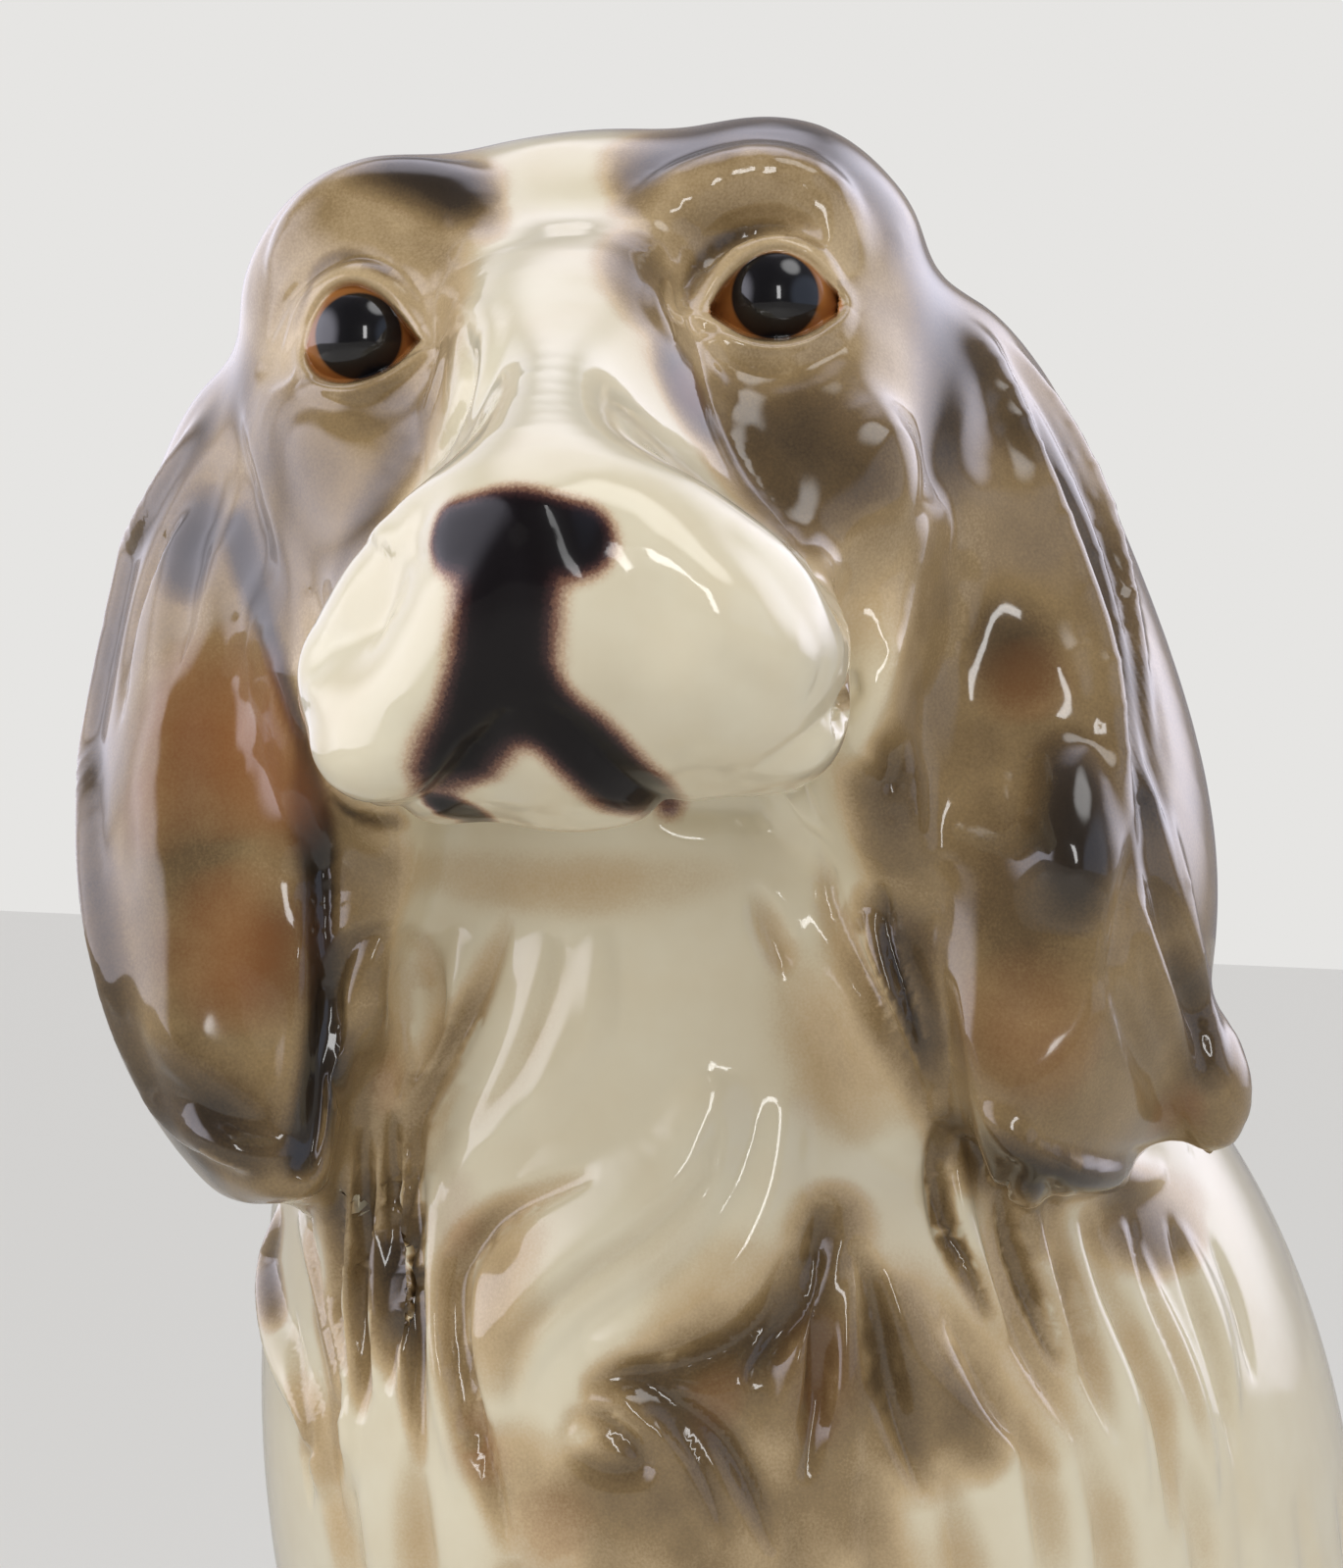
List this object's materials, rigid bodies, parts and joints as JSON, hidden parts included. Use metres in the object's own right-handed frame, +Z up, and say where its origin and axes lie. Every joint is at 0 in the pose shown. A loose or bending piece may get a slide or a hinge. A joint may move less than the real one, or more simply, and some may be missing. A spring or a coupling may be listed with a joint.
{
  "type": "ceramic dog figurine",
  "caption": "Seated long-eared gun dog in glossy cream glaze with umber airbrushing, head turned and lifted. Hollow slip-cast ornament that stands on its seat and paws.",
  "frame": {"origin": "on the table, under the middle of the figure's box", "axes": "+Z up, the dog faces -Y, and its own left side is +X"},
  "size_m": [0.1592, 0.2338, 0.3404],
  "materials": {
    "cream_glaze": "white earthenware under a thick glossy glaze, cream ground with soft umber spray in the folds",
    "face_glaze": "the same glaze over a cream face with umber brows and cheeks, painted amber eyes and a near-black nose",
    "umber_glaze": "the same glaze over umber, red-brown and black spray on the ears"
  },
  "bodies": {
    "root": {"torso_casting": "cream_glaze", "head_casting": "face_glaze", "right_ear_casting": "umber_glaze", "left_ear_casting": "umber_glaze", "right_foreleg_casting": "cream_glaze", "left_foreleg_casting": "cream_glaze", "right_haunch_casting": "cream_glaze", "left_haunch_casting": "cream_glaze", "tail_casting": "cream_glaze"}
  },
  "joints": []
}
